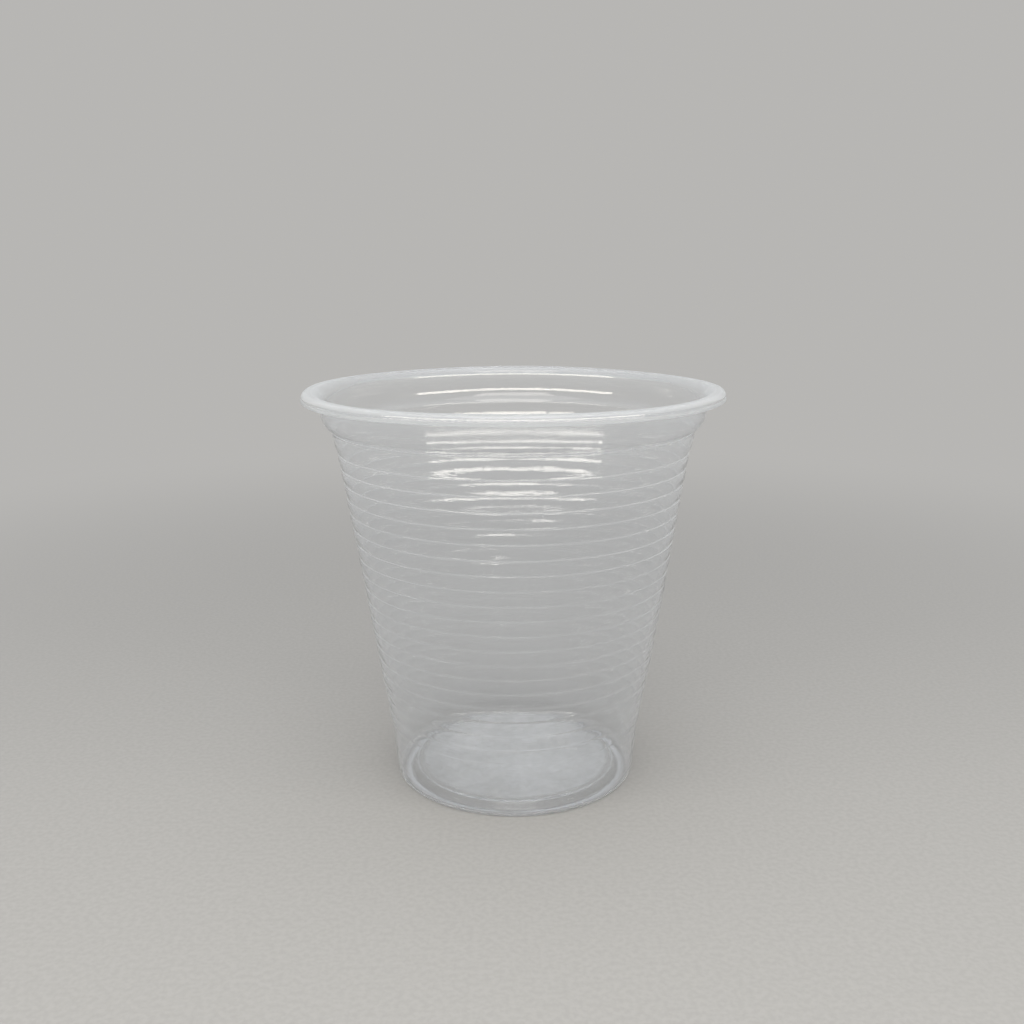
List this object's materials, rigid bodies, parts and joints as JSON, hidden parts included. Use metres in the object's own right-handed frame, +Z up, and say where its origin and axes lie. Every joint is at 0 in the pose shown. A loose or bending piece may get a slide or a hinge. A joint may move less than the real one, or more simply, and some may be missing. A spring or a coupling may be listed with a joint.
{
  "type": "plastic disposable cup",
  "caption": "Tapered thin-walled drinking cup of translucent plastic, with a turned-down lip, a stacking shoulder, bowed ribs and a raised base.",
  "frame": {"origin": "centre of the foot, on the surface that the cup stands on", "axes": "+Z up along the cup's axis of revolution, from the foot to the mouth; X and Y are alike"},
  "size_m": [0.095, 0.095, 0.092],
  "materials": {
    "cup_sheet": "clear milky polypropylene sheet, smooth and glossy"
  },
  "bodies": {
    "root": {"cup": "cup_sheet"}
  },
  "joints": []
}
